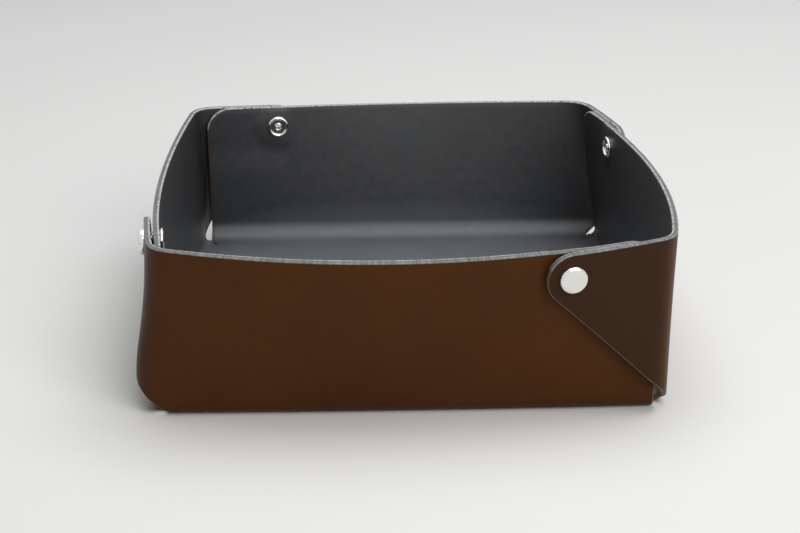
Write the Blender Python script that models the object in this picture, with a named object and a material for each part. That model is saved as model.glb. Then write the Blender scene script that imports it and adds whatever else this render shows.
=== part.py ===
"""Leather valet tray: one blank folded up into four walls, with a press snap at each corner.

Each wall's left end, seen from outside, wraps round the corner and lies on the next wall as a
flap. Undoing its snap lets the flap swing out on the corner bend.
"""
import math
from collections import namedtuple
from functools import partial

import bmesh
import bpy
from mathutils import Matrix, Vector

# Tray, in metres: Z is up and the origin is the middle of the underside
TRAY_WIDTH = 0.230
TRAY_DEPTH = 0.230
RIM_HEIGHT = 0.0795
FOLD_RADIUS = 0.0055

# Leather: two plies bonded together, with the glue line left open between them
OUTER_PLY = 0.0015
LINING_PLY = 0.0010
GLUE_LINE = 0.0003
EDGE_ROUNDING = 0.0005

# Walls: how far the rim bows out at mid length, draws in at the plain end and dips,
# and how far the flap lying on the wall would stand off more down at the bottom
FRONT_BOW = 0.0180
RIGHT_BOW = 0.0130
BACK_BOW = 0.0130
LEFT_BOW = 0.0070
FRONT_DRAW_IN = 0.0080
RIGHT_DRAW_IN = 0.0150
BACK_DRAW_IN = 0.0060
LEFT_DRAW_IN = 0.0085
FRONT_DIP = 0.0029
RIGHT_DIP = 0.0026
BACK_DIP = 0.0022
LEFT_DIP = 0.0034
FRONT_FLARE = 0.0030
RIGHT_FLARE = 0.0040
BACK_FLARE = 0.0040
LEFT_FLARE = 0.0065

# Wall ends, measured from the outer face of the next wall
PLAIN_END_INSET = 0.0067
PLAIN_END_RADIUS = 0.0100
WRAP_START_INSET = 0.0085

# Corner flaps
FLAP_STANDOFF = 0.0012
FLARE_TOP = 0.0600
FLARE_POWER = 1.5
BEND_END_INSET = 0.0107
HINGE_SHARE = 0.5
HINGE_GAP = 0.0003
FOOT_INSET = 0.0016
FOOT_HEIGHT = 0.0100
EDGE_START_HEIGHT = 0.0017
TIP_RADIUS = 0.0120
TIP_REACH = 0.0110
WRAP_TIGHTNESS_FOOT = 0.62
WRAP_TIGHTNESS_RIM = 0.72

# Press snaps: place on the wall, then the four pressed pieces of each
SNAP_INSET = 0.0460
SNAP_DROP = 0.0113
SEAT_GAP = 0.0003
RUNNING_GAP = 0.00015
BARREL_RADIUS = 0.0019
BARREL_WALL = 0.0005
BARREL_CLEARANCE = 0.0003
LIP_RADIUS = 0.0023
LIP_THICKNESS = 0.00015
CAP_RADIUS = 0.00625
CAP_HEIGHT = 0.0013
CAP_SHOULDER = 0.0009
CAP_TUCK = 0.0003
SOCKET_RADIUS = 0.0050
SOCKET_PLATE = 0.00025
SOCKET_BORE_RADIUS = 0.0031
SOCKET_POCKET_CLEARANCE = 0.0003
STUD_FLANGE_RADIUS = 0.0043
STUD_FLANGE_THICKNESS = 0.0004
STUD_BALL_RADIUS = 0.0028
STUD_NECK_RADIUS = 0.0025
STUD_BALL_HEIGHT = 0.0008
STUD_SHOULDER = 0.0003
POST_RADIUS = 0.0058
POST_HEIGHT = 0.0014
POST_SHOULDER = 0.0009
POST_TUCK = 0.0003
POST_LAND_RADIUS = 0.0040
POST_DISH_DEPTH = 0.0009

# Facets
WALL_COLUMNS = 14
SNAP_COLUMNS = 3
END_COLUMNS = 4
BEND_COLUMNS = 3
FOLD_ROWS = 3
WALL_ROWS = 2
FLAP_COLUMNS = 5
FLAP_ROWS = 3
TIP_COLUMNS = 6
TURNED_SIDES = 18
SHOULDER_STEPS = 2
SMOOTH_ANGLE = 35

LEATHER = OUTER_PLY + GLUE_LINE + LINING_PLY
FLAP_LIFT = FLAP_STANDOFF + LEATHER

# Finishes: colour, roughness, metallic
BROWN_LEATHER = ((0.055, 0.021, 0.010), 0.45, 0.0)
BLACK_LINING = ((0.016, 0.017, 0.019), 0.40, 0.0)
NICKEL = ((0.70, 0.66, 0.60), 0.18, 1.0)

# Plies of the leather: lifts of face and back off its outer face, and whether the back is rounded
PLIES = (
    ("leather", 0, -OUTER_PLY, False, BROWN_LEATHER),
    ("lining", -OUTER_PLY - GLUE_LINE, -LEATHER, True, BLACK_LINING),
)

Wall = namedtuple("Wall", "turn along outward bow draw_in dip flare")
HALF_WIDTH, HALF_DEPTH = TRAY_WIDTH / 2, TRAY_DEPTH / 2
WALLS = (
    Wall(0.0, HALF_WIDTH, HALF_DEPTH, FRONT_BOW, FRONT_DRAW_IN, FRONT_DIP, FRONT_FLARE),
    Wall(math.pi / 2, HALF_DEPTH, HALF_WIDTH, RIGHT_BOW, RIGHT_DRAW_IN, RIGHT_DIP, RIGHT_FLARE),
    Wall(math.pi, HALF_WIDTH, HALF_DEPTH, BACK_BOW, BACK_DRAW_IN, BACK_DIP, BACK_FLARE),
    Wall(-math.pi / 2, HALF_DEPTH, HALF_WIDTH, LEFT_BOW, LEFT_DRAW_IN, LEFT_DIP, LEFT_FLARE),
)
# Corner i is at the plain end of wall i, where the next wall's flap lies on it
CORNERS = ("front_right", "back_right", "back_left", "front_left")


# Shape of a wall: p runs along it towards its plain end, z runs up it

def mix(low, high, share):
    return low + (high - low) * share


def to_world(wall, along, outward, up):
    """Turn a place given along, outward of and up a wall into the tray's own frame."""
    cosine, sine = math.cos(wall.turn), math.sin(wall.turn)
    return Vector((along * cosine + outward * sine, along * sine - outward * cosine, up))


def lean(wall, p):
    """Outward slope of the wall there: its bow less what its plain end is drawn in."""
    share = p / wall.along
    reach = wall.bow * (1 - share ** 2) - wall.draw_in * ((1 + share) / 2) ** 2
    return reach / RIM_HEIGHT


def lean_change(wall, p):
    share = p / wall.along
    reach = -2 * wall.bow * share - wall.draw_in * (1 + share) / 2
    return reach / (wall.along * RIM_HEIGHT)


def wall_point(wall, p, z, lift):
    """Point on the wall's outer face, lifted off it along its normal."""
    normal = Vector((-lean_change(wall, p) * z, 1, -lean(wall, p))).normalized()
    place = Vector((p, wall.outward + lean(wall, p) * z, z)) + normal * lift
    return to_world(wall, *place)


def wall_direction(wall, p, z):
    """Level direction along the wall, towards its plain end."""
    return to_world(wall, 1, lean_change(wall, p) * z, 0).normalized()


def fold_point(wall, p, share, lift):
    """Point on the rounded fold between the bottom (share 0) and the wall (share 1)."""
    slope = lean(wall, p)
    centre = wall.outward + FOLD_RADIUS * (slope - math.hypot(1, slope))
    angle = share * math.atan2(1, slope)
    radius = FOLD_RADIUS + lift
    return to_world(wall, p, centre + radius * math.sin(angle), FOLD_RADIUS - radius * math.cos(angle))


def wall_profile_point(wall, p, z, lift):
    """Point at a height on the wall, or on the fold where it is lower than the fold's top."""
    if z >= fold_top(wall, p):
        return wall_point(wall, p, z, lift)
    return fold_point(wall, p, fold_share(wall, p, z), lift)


def fold_share(wall, p, z):
    """How far round the fold its outer face has risen to a height."""
    return math.acos(1 - z / FOLD_RADIUS) / math.atan2(1, lean(wall, p))


def fold_top(wall, p):
    slope = lean(wall, p)
    return FOLD_RADIUS * (1 - slope / math.hypot(1, slope))


def rim(wall, p):
    return RIM_HEIGHT - wall.dip * (1 - (p / wall.along) ** 2)


def plain_end(wall):
    return wall.along - PLAIN_END_INSET


def wrap_start(wall):
    return WRAP_START_INSET - wall.along


def corner_slope(wall):
    """How far the bend at the wall's start shifts along it with height, as the wall before leans in."""
    before = WALLS[WALLS.index(wall) - 1]
    return -lean(before, plain_end(before))


def wall_top(wall, p):
    """Rim of a wall, rounded off at its plain end."""
    over = p - (plain_end(wall) - PLAIN_END_RADIUS)
    if over <= 0:
        return rim(wall, p)
    return rim(wall, p) - PLAIN_END_RADIUS + math.sqrt(max(PLAIN_END_RADIUS ** 2 - over ** 2, 0))


# Outline of a flap: q is the distance from the outer face of the wall that it comes from

def tip_centre(wall):
    q = SNAP_INSET + TIP_REACH - TIP_RADIUS
    return q, rim(wall, wall.along - q) - TIP_RADIUS


def slant_angle(wall):
    """Slope of the flap's lower edge, which runs from its foot to touch the round tip."""
    centre_q, centre_z = tip_centre(wall)
    across, up = centre_q - FOOT_INSET, centre_z - FOOT_HEIGHT
    return math.atan2(up, across) - math.asin(TIP_RADIUS / math.hypot(across, up))


def slant(wall, q):
    return FOOT_HEIGHT + (q - FOOT_INSET) * math.tan(slant_angle(wall))


def tip_half_height(wall, q):
    return math.sqrt(max(TIP_RADIUS ** 2 - (q - tip_centre(wall)[0]) ** 2, 0))


def flap_bottom(wall, q):
    centre_q, centre_z = tip_centre(wall)
    if q < centre_q + TIP_RADIUS * math.sin(slant_angle(wall)):
        return slant(wall, q)
    return centre_z - tip_half_height(wall, q)


def flap_top(wall, q):
    centre_q, centre_z = tip_centre(wall)
    if q < centre_q:
        return rim(wall, wall.along - q)
    return centre_z + tip_half_height(wall, q)


def flare(wall, z):
    """How far the flap stands off more than at the snap."""
    return wall.flare * max(1 - z / FLARE_TOP, 0) ** FLARE_POWER


def flap_point(wall, q, z, lift):
    """Point on the flap's outer face, lifted off it along its normal."""
    return wall_point(wall, wall.along - q, z, FLAP_LIFT + flare(wall, z) + lift)


# The bend between a wall and its flap: s runs from 0 at the wall to 1 at the flap

def wrap_length():
    return (WRAP_START_INSET + FLAP_LIFT + BEND_END_INSET) * math.pi / 4


def wrap_bottom(corner, s):
    """The slanted lower edge of the flap runs on straight into the fold."""
    return mix(EDGE_START_HEIGHT, slant(WALLS[corner], BEND_END_INSET), s)


def wrap_top(corner, s):
    wall, own = WALLS[corner], WALLS[(corner + 1) % 4]
    return mix(rim(own, wrap_start(own)), flap_top(wall, BEND_END_INSET), s)


def wrap_point(corner, s, z, lift):
    """Point on the bend, on a curve that leaves one wall and meets the flap smoothly."""
    wall, own = WALLS[corner], WALLS[(corner + 1) % 4]
    start_place = wrap_start(own) + corner_slope(own) * z
    start = wall_profile_point(own, start_place, z, lift)
    end = flap_point(wall, BEND_END_INSET, z, lift)
    leave = -wall_direction(own, start_place, z)
    arrive = -wall_direction(wall, wall.along - BEND_END_INSET, z)
    gap = end - start
    turn = leave.x * arrive.y - leave.y * arrive.x
    from_start = (gap.x * arrive.y - gap.y * arrive.x) / turn
    from_end = (leave.x * gap.y - leave.y * gap.x) / turn
    tightness = mix(WRAP_TIGHTNESS_FOOT, WRAP_TIGHTNESS_RIM, z / RIM_HEIGHT)
    first = start + leave * (tightness * from_start)
    second = end - arrive * (tightness * from_end)
    rest = 1 - s
    return start * rest ** 3 + first * (3 * rest ** 2 * s) + second * (3 * rest * s ** 2) + end * s ** 3


# Sheets of leather: a grid of places, each with a point on both faces of the ply

class Sheet:
    """One ply of leather, between two lifts off the leather's outer face."""

    def __init__(self, face_lift, back_lift):
        self.lifts = (face_lift, back_lift)
        self.face = []
        self.back = []
        self.polygons = []

    def add(self, place):
        """Add one place of the sheet, as a function of the lift off the leather's outer face."""
        self.face.append(place(self.lifts[0]))
        self.back.append(place(self.lifts[1]))
        return len(self.face) - 1

    def fill(self, left, right):
        """Join two neighbouring columns of places with triangles, split alike in every ply."""
        for low in range(len(left) - 1):
            start, end = left[low], right[low + 1]
            for triangle in ((start, right[low], end), (start, end, left[low + 1])):
                if len(set(triangle)) == 3:
                    self.polygons.append(triangle)

    def border(self):
        """Edges that only one polygon has, in that polygon's direction."""
        edges = set()
        for polygon in self.polygons:
            for edge in zip(polygon, polygon[1:] + polygon[:1]):
                if edge[::-1] in edges:
                    edges.remove(edge[::-1])
                else:
                    edges.add(edge)
        return sorted(edges)

    def mesh(self, name, frame, rounded_back, square_places):
        """Close the two faces with a rim, and mark the rim edges that are rounded."""
        count = len(self.face)
        to_frame = frame.inverted()
        points = [to_frame @ point for point in self.face + self.back]
        polygons = list(self.polygons)
        polygons += [tuple(count + index for index in reversed(polygon)) for polygon in self.polygons]
        polygons += [(end, start, count + start, count + end) for start, end in self.border()]
        mesh = bpy.data.meshes.new(name)
        mesh.from_pydata(points, [], polygons)
        shift = count if rounded_back else 0
        rounded = {
            frozenset((start + shift, end + shift))
            for start, end in self.border()
            if not (start in square_places and end in square_places)
        }
        weights = mesh.attributes.new("bevel_weight_edge", "FLOAT", "EDGE")
        for edge, weight in zip(mesh.edges, weights.data):
            weight.value = float(frozenset(edge.vertices) in rounded)
        return mesh


# Materials and objects

def material(name, color, roughness, metallic):
    made = bpy.data.materials.new(name)
    made.use_nodes = True
    shader = made.node_tree.nodes["Principled BSDF"]
    shader.inputs["Base Color"].default_value = (*color, 1)
    shader.inputs["Roughness"].default_value = roughness
    shader.inputs["Metallic"].default_value = metallic
    return made


def add_object(name, mesh, finish, frame, parent=None):
    """Add an object at a world frame, under the empty on its hinge if it swings."""
    bm = bmesh.new()
    bm.from_mesh(mesh)
    bmesh.ops.recalc_face_normals(bm, faces=bm.faces)
    bm.to_mesh(mesh)
    bm.free()
    mesh.materials.append(material(name, *finish))
    mesh.shade_smooth()
    mesh.set_sharp_from_angle(angle=math.radians(SMOOTH_ANGLE))
    made = bpy.data.objects.new(name, mesh)
    bpy.context.collection.objects.link(made)
    if parent:
        made.parent = parent
        made.matrix_parent_inverse = parent.matrix_basis.inverted()
    made.matrix_basis = frame
    return made


def round_edges(leather):
    bevel = leather.modifiers.new("rounded_edges", "BEVEL")
    bevel.limit_method = "WEIGHT"
    bevel.width = EDGE_ROUNDING
    bevel.segments = 1


def punch(leather, cutter):
    cut = leather.modifiers.new("punched_" + cutter.name, "BOOLEAN")
    cut.operation = "DIFFERENCE"
    cut.solver = "EXACT"
    cut.object = cutter


def punch_tool(name, radius, frames):
    """Round punch at each snap frame given, long enough to pass right through wall and flap."""
    length = 2 * (LEATHER + FLAP_LIFT)
    bm = bmesh.new()
    for frame in frames:
        bmesh.ops.create_cone(
            bm, cap_ends=True, segments=TURNED_SIDES, radius1=radius, radius2=radius,
            depth=length, matrix=frame)
    mesh = bpy.data.meshes.new(name)
    bm.to_mesh(mesh)
    bm.free()
    cutter = bpy.data.objects.new(name, mesh)
    bpy.context.collection.objects.link(cutter)
    cutter.hide_render = True
    cutter.display_type = "WIRE"
    return cutter


# The tray: bottom, folds, walls and the near halves of the corner bends in one sheet for each ply

def wall_columns(wall):
    """Columns of a wall, each a place p at the foot and how far p shifts with height.

    One column passes the snap, and they close up round the plain end.
    """
    snap, straight_end = wall.along - SNAP_INSET, plain_end(wall) - PLAIN_END_RADIUS
    shares = [i / WALL_COLUMNS for i in range(WALL_COLUMNS)]
    before = [(mix(wrap_start(wall), snap, share), mix(corner_slope(wall), 0, share)) for share in shares]
    after = [(mix(snap, straight_end, i / SNAP_COLUMNS), 0) for i in range(SNAP_COLUMNS)]
    turns = [i / END_COLUMNS * math.pi / 2 for i in range(END_COLUMNS + 1)]
    return before + after + [(straight_end + PLAIN_END_RADIUS * math.sin(turn), 0) for turn in turns]


def wall_heights(low, high):
    """Heights of the places in a column of a wall: one is level with the snap."""
    level = high - SNAP_DROP
    return [mix(low, level, row / WALL_ROWS) for row in range(WALL_ROWS + 1)] + [high]


def fold_shares(corner, at_start):
    """Shares round the fold of the places in a column: at a wall's start, one is on the cut edge."""
    if not at_start:
        return [row / FOLD_ROWS for row in range(FOLD_ROWS)]
    own = WALLS[(corner + 1) % 4]
    edge = fold_share(own, wrap_start(own), wrap_bottom(corner, 0))
    return [0] + [mix(edge, 1, row / (FOLD_ROWS - 1)) for row in range(FOLD_ROWS - 1)]


def bend_heights(corner, s):
    """Heights of the places in a column of a bend: the lowest are where it leaves the fold."""
    own = WALLS[(corner + 1) % 4]
    low, rise = wrap_bottom(corner, s), fold_top(own, wrap_start(own)) - wrap_bottom(corner, 0)
    lower = [low + rise * row / (FOLD_ROWS - 1) for row in range(FOLD_ROWS - 1)]
    return lower + wall_heights(low + rise, wrap_top(corner, s))


def tray_sheet(face_lift, back_lift):
    """One ply of the whole tray, and its places on the four hinge lines."""
    sheet = Sheet(face_lift, back_lift)
    bottom = []
    hinge_places = set()
    for index, wall in enumerate(WALLS):
        corner = (index - 1) % 4
        columns = []
        for p, slope in wall_columns(wall):
            shares = fold_shares(corner, not columns)
            fold = [sheet.add(partial(fold_point, wall, p, share)) for share in shares]
            heights = wall_heights(fold_top(wall, p), wall_top(wall, p))
            columns.append(fold + [sheet.add(partial(wall_point, wall, p + slope * z, z)) for z in heights])
            bottom.append(fold[0])
        for left, right in zip(columns, columns[1:]):
            sheet.fill(left, right)
        right = columns[0][1:]
        for column in range(1, BEND_COLUMNS + 1):
            s = HINGE_SHARE * column / BEND_COLUMNS
            left = [sheet.add(partial(wrap_point, corner, s, z)) for z in bend_heights(corner, s)]
            sheet.fill(left, right)
            right = left
        hinge_places.update(right)
    sheet.polygons.append(tuple(reversed(bottom)))
    return sheet, hinge_places


def build_tray():
    frames = [snap_frame(corner) for corner in range(4)]
    cutter = punch_tool("wall_punch", BARREL_RADIUS + BARREL_CLEARANCE, frames)
    for name, face_lift, back_lift, rounded_back, finish in PLIES:
        sheet, hinge_places = tray_sheet(face_lift, back_lift)
        frame = Matrix.Identity(4)
        mesh = sheet.mesh("tray_" + name, frame, rounded_back, hinge_places)
        ply = add_object("tray_" + name, mesh, finish, frame)
        round_edges(ply)
        punch(ply, cutter)


# The flaps with the far halves of the bends, each on the empty that stands on its hinge line

def flap_columns(wall):
    """Places q of the columns of a flap short of its tip, closing up round it."""
    centre = tip_centre(wall)[0]
    straight = [mix(BEND_END_INSET, centre, i / FLAP_COLUMNS) for i in range(FLAP_COLUMNS)]
    turns = [i / TIP_COLUMNS * math.pi / 2 for i in range(TIP_COLUMNS)]
    return straight + [centre + TIP_RADIUS * math.sin(turn) for turn in turns]


def flap_heights(low, high):
    return [mix(low, high, row / FLAP_ROWS) for row in range(FLAP_ROWS + 1)]


def flap_sheet(corner, face_lift, back_lift):
    """One ply of a flap, and its places on the hinge line."""
    wall = WALLS[corner]
    sheet = Sheet(face_lift, back_lift)
    columns = []
    first = HINGE_SHARE + HINGE_GAP / wrap_length()
    for column in range(BEND_COLUMNS):
        s = mix(first, 1, column / BEND_COLUMNS)
        heights = flap_heights(wrap_bottom(corner, s), wrap_top(corner, s))
        columns.append([sheet.add(partial(wrap_point, corner, s, z)) for z in heights])
    for q in flap_columns(wall):
        heights = flap_heights(flap_bottom(wall, q), flap_top(wall, q))
        columns.append([sheet.add(partial(flap_point, wall, q, z)) for z in heights])
    centre_q, centre_z = tip_centre(wall)
    tip = sheet.add(partial(flap_point, wall, centre_q + TIP_RADIUS, centre_z))
    columns.append([tip] * (FLAP_ROWS + 1))
    for right, left in zip(columns, columns[1:]):
        sheet.fill(left, right)
    return sheet, set(columns[0])


def hinge_frame(corner):
    """Frame on the hinge line, which touches the bend's outer face at its foot and its top."""
    foot = wrap_point(corner, HINGE_SHARE, wrap_bottom(corner, HINGE_SHARE), 0)
    top = wrap_point(corner, HINGE_SHARE, wrap_top(corner, HINGE_SHARE), 0)
    wall = WALLS[corner]
    return upright_frame(foot, top - foot, wall_direction(wall, wall.along - BEND_END_INSET, 0))


def snap_frame(corner):
    """Frame of a snap: origin on the wall's outer face, Z straight out of it."""
    wall = WALLS[corner]
    p = wall.along - SNAP_INSET
    z = rim(wall, p) - SNAP_DROP
    face = wall_point(wall, p, z, 0)
    out = wall_point(wall, p, z, LEATHER) - face
    return upright_frame(face, out, wall_direction(wall, p, z))


def upright_frame(origin, z_axis, near_x_axis):
    z_axis = z_axis.normalized()
    y_axis = z_axis.cross(near_x_axis).normalized()
    x_axis = y_axis.cross(z_axis)
    frame = Matrix((x_axis, y_axis, z_axis)).transposed().to_4x4()
    frame.translation = origin
    return frame


def build_flap(corner):
    place = CORNERS[corner]
    frame = hinge_frame(corner)
    hinge = bpy.data.objects.new("hinge_" + place, None)
    hinge.matrix_basis = frame
    bpy.context.collection.objects.link(hinge)
    snap = snap_frame(corner)
    barrel_punch = punch_tool("barrel_punch_" + place, BARREL_RADIUS + BARREL_CLEARANCE, [snap])
    pocket_punch = punch_tool("pocket_punch_" + place, SOCKET_RADIUS + SOCKET_POCKET_CLEARANCE, [snap])
    for ply, cutter in zip(PLIES, (barrel_punch, pocket_punch)):
        name, face_lift, back_lift, rounded_back, finish = ply
        sheet, hinge_places = flap_sheet(corner, face_lift, back_lift)
        mesh = sheet.mesh("flap_" + name, frame, rounded_back, hinge_places)
        flap = add_object("flap_" + name + "_" + place, mesh, finish, frame, hinge)
        round_edges(flap)
        punch(flap, cutter)
    return hinge


# Press snaps: profiles of radius and height off the wall's outer face, turned about the snap's axis

def shoulder(radius_at, height_at, size, start, end):
    """Rounded shoulder of a profile, between two angles in degrees."""
    turns = [math.radians(mix(start, end, i / SHOULDER_STEPS)) for i in range(SHOULDER_STEPS + 1)]
    return [(radius_at + size * math.cos(turn), height_at + size * math.sin(turn)) for turn in turns]


def cap_profile():
    """Cap on the flap's face, with a tubular barrel whose lip holds the socket."""
    seat = FLAP_LIFT + SEAT_GAP
    top = seat + CAP_HEIGHT
    lip_top = socket_top() - SOCKET_PLATE - RUNNING_GAP
    lip_low = lip_top - LIP_THICKNESS
    bore = BARREL_RADIUS - BARREL_WALL
    rounded = shoulder(CAP_RADIUS - CAP_SHOULDER, top - CAP_SHOULDER, CAP_SHOULDER, 90, 0)
    barrel = [
        (CAP_RADIUS - CAP_TUCK, seat), (BARREL_RADIUS, seat), (BARREL_RADIUS, lip_top),
        (LIP_RADIUS, lip_top), (LIP_RADIUS, lip_low), (bore, lip_low), (bore, seat), (0, seat),
    ]
    return [(0, top)] + rounded + barrel


def socket_top():
    """Height of the socket's plate, which presses on the flap's outer ply."""
    return FLAP_STANDOFF + LINING_PLY + GLUE_LINE - SEAT_GAP


def socket_low():
    return SEAT_GAP + STUD_FLANGE_THICKNESS + SEAT_GAP


def socket_profile():
    top, low = socket_top(), socket_low()
    hole = BARREL_RADIUS + BARREL_CLEARANCE
    return [
        (hole, top), (SOCKET_RADIUS - SOCKET_PLATE, top), (SOCKET_RADIUS, top - SOCKET_PLATE),
        (SOCKET_RADIUS, low), (SOCKET_BORE_RADIUS, low), (SOCKET_BORE_RADIUS, top - SOCKET_PLATE),
        (hole, top - SOCKET_PLATE),
    ]


def stud_top():
    return SEAT_GAP + STUD_FLANGE_THICKNESS + STUD_BALL_HEIGHT


def stud_profile():
    low, flange, top = SEAT_GAP, SEAT_GAP + STUD_FLANGE_THICKNESS, stud_top()
    hole = BARREL_RADIUS + BARREL_CLEARANCE
    return [
        (hole, low), (STUD_FLANGE_RADIUS, low), (STUD_FLANGE_RADIUS, flange), (STUD_NECK_RADIUS, flange),
        (STUD_BALL_RADIUS, flange + STUD_SHOULDER), (STUD_BALL_RADIUS, top - STUD_SHOULDER),
        (STUD_NECK_RADIUS, top), (hole, top),
    ]


def post_profile():
    """Post inside the tray: a dished round head, and a barrel through the wall into the stud."""
    seat = -LEATHER - SEAT_GAP
    crown = seat - POST_HEIGHT
    bore = BARREL_RADIUS - BARREL_WALL
    tip = stud_top() - RUNNING_GAP
    rounded = shoulder(POST_RADIUS - POST_SHOULDER, crown + POST_SHOULDER, POST_SHOULDER, 0, -90)
    deep = crown + POST_DISH_DEPTH
    dish = [(POST_LAND_RADIUS, crown), (BARREL_RADIUS, deep), (bore, deep)]
    barrel = [(bore, tip), (BARREL_RADIUS, tip)]
    return [(BARREL_RADIUS, seat), (POST_RADIUS - POST_TUCK, seat)] + rounded + dish + barrel


def turned_mesh(name, profile):
    bm = bmesh.new()
    points = [bm.verts.new((radius, 0, height)) for radius, height in profile]
    ends = list(zip(points, points[1:]))
    if profile[0][0] > 0:
        ends.append((points[-1], points[0]))
    edges = [bm.edges.new(pair) for pair in ends]
    bmesh.ops.spin(
        bm, geom=points + edges, axis=(0, 0, 1), cent=(0, 0, 0), angle=2 * math.pi,
        steps=TURNED_SIDES, use_merge=True)
    bmesh.ops.remove_doubles(bm, verts=bm.verts, dist=1e-6)
    mesh = bpy.data.meshes.new(name)
    bm.to_mesh(mesh)
    bm.free()
    return mesh


def build_snap(corner, hinge):
    place, frame = CORNERS[corner], snap_frame(corner)
    pieces = (
        ("snap_cap_", cap_profile(), hinge),
        ("snap_socket_", socket_profile(), hinge),
        ("snap_stud_", stud_profile(), None),
        ("snap_post_", post_profile(), None),
    )
    for name, profile, parent in pieces:
        mesh = turned_mesh(name + place, profile)
        add_object(name + place, mesh, NICKEL, frame, parent)


def main():
    for leftover in list(bpy.data.objects):
        bpy.data.objects.remove(leftover)
    build_tray()
    for corner in range(4):
        build_snap(corner, build_flap(corner))


if __name__ == "__main__":
    main()
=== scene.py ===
"""Leather valet tray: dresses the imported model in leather, edge paint and polished snaps.

Every piece of leather is laid out on the flat cut blank first and then folded into place.
"""
import math
from functools import partial

import bmesh
import bpy
import numpy as np
from bpy.props import FloatProperty, FloatVectorProperty, IntProperty, PointerProperty
from bpy.types import Operator, Panel, PropertyGroup
from mathutils import Matrix, Vector
from mathutils.geometry import delaunay_2d_cdt


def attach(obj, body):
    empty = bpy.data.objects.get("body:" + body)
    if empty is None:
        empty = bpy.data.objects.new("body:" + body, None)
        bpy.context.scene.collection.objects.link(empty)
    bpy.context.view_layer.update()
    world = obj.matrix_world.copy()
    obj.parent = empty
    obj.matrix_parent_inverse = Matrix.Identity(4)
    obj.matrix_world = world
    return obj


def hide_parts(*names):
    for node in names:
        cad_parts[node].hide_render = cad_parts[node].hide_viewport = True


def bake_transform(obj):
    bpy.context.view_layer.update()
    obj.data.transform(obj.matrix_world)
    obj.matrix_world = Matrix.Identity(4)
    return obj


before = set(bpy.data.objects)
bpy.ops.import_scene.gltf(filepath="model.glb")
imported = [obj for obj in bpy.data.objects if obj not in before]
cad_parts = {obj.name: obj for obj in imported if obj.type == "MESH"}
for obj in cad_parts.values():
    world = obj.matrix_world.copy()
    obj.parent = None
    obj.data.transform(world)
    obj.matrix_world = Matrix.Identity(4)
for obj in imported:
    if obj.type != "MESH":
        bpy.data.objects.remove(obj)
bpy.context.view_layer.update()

bl_info = {
    "name": "Leather Valet Tray",
    "version": (1, 0, 0),
    "blender": (4, 5, 0),
    "location": "3D View > Sidebar > Valet Tray",
    "description": "Leather valet tray folded from one blank, with a press snap at each corner",
    "category": "Object",
}

# Corner i is at the plain end of wall i, where the flap of the next wall lies on it
CORNERS = ("front_right", "back_right", "back_left", "front_left")
WALL_NAMES = ("front", "right", "back", "left")


# Settings

def length(name, description, default):
    return FloatProperty(name=name, description=description, default=default, unit="LENGTH")


def wall_lengths(name, description, *defaults):
    """A length for each of the four walls."""
    return FloatVectorProperty(
        name=name, description=description, default=defaults, size=4, unit="LENGTH")


def tint(name, description, *default):
    return FloatVectorProperty(
        name=name, description=description, default=default, subtype="COLOR")


def share_of_one(name, description, default):
    return FloatProperty(
        name=name, description=description, default=default, subtype="FACTOR", min=0, max=1)


def power(name, description, default):
    return FloatProperty(name=name, description=description, default=default, min=0, unit="POWER")


def angle(name, description, default):
    return FloatProperty(name=name, description=description, default=default, unit="ROTATION")


class TraySizes(PropertyGroup):
    """Sizes of the tray. Where there are four, they are for the front, right, back and left wall."""

    width: length("Width", "Across the bottom, fold to fold", 0.230)
    depth: length("Depth", "From front to back of the bottom", 0.230)
    rim_height: length("Rim height", "Height of the rim at the corners", 0.0795)
    fold_radii: wall_lengths(
        "Fold radii", "Outer radius of the fold at the foot of each wall",
        0.0060, 0.0065, 0.0125, 0.0065)
    leather: length("Leather", "Thickness of leather and lining", 0.0028)
    edge_rounding: length("Edge rounding", "Radius of the burnished edges", 0.0006)
    bows: wall_lengths(
        "Bows", "How far each rim bows out at mid length", 0.0180, 0.0130, 0.0130, 0.0070)
    draw_ins: wall_lengths(
        "Draw-ins", "How far each rim draws in at its plain end", 0.0080, 0.0150, 0.0060, 0.0085)
    dips: wall_lengths(
        "Dips", "How far each rim dips at mid length", 0.0029, 0.0026, 0.0022, 0.0034)
    flares: wall_lengths(
        "Flares", "How far the flap on each wall would stand off more at the foot",
        0.0030, 0.0040, 0.0040, 0.0065)
    hugs: wall_lengths(
        "Hugs", "How much nearer to the flap each wall's plain end comes",
        0.00115, 0.0011, 0.0008, 0.0)
    flare_top: length("Flare top", "Height where the flare ends", 0.0600)
    tuck_top: length("Tuck top", "Height below which a bend tucks in towards its foot", 0.0340)
    plain_inset: length(
        "Plain end inset", "From a wall's plain end to the next wall's outer face", 0.0067)
    plain_radius: length("Plain end radius", "Rounding of a wall's upper plain corner", 0.0135)
    bend_start: length("Bend start", "From a corner bend's start to the wall before it", 0.0085)
    bend_end: length("Bend end", "From a corner bend's end to the face of its own wall", 0.0107)
    standoff: length("Standoff", "From a wall to the flap lying on it", 0.0012)
    foot_inset: length("Foot inset", "Where the slanted edge of a flap starts", 0.0016)
    foot_height: length("Foot height", "Height of the start of the slanted edge", 0.0072)
    edge_start: length("Edge start", "Height where the slanted edge leaves the fold", 0.0017)
    tip_radius: length("Tip radius", "Rounding of a flap's tip", 0.0120)
    tip_reach: length("Tip reach", "From the snap to the flap's tip", 0.0110)
    snap_inset: length("Snap inset", "From a snap to the corner", 0.0460)
    snap_drop: length("Snap drop", "From a snap up to the rim", 0.0113)


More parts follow.
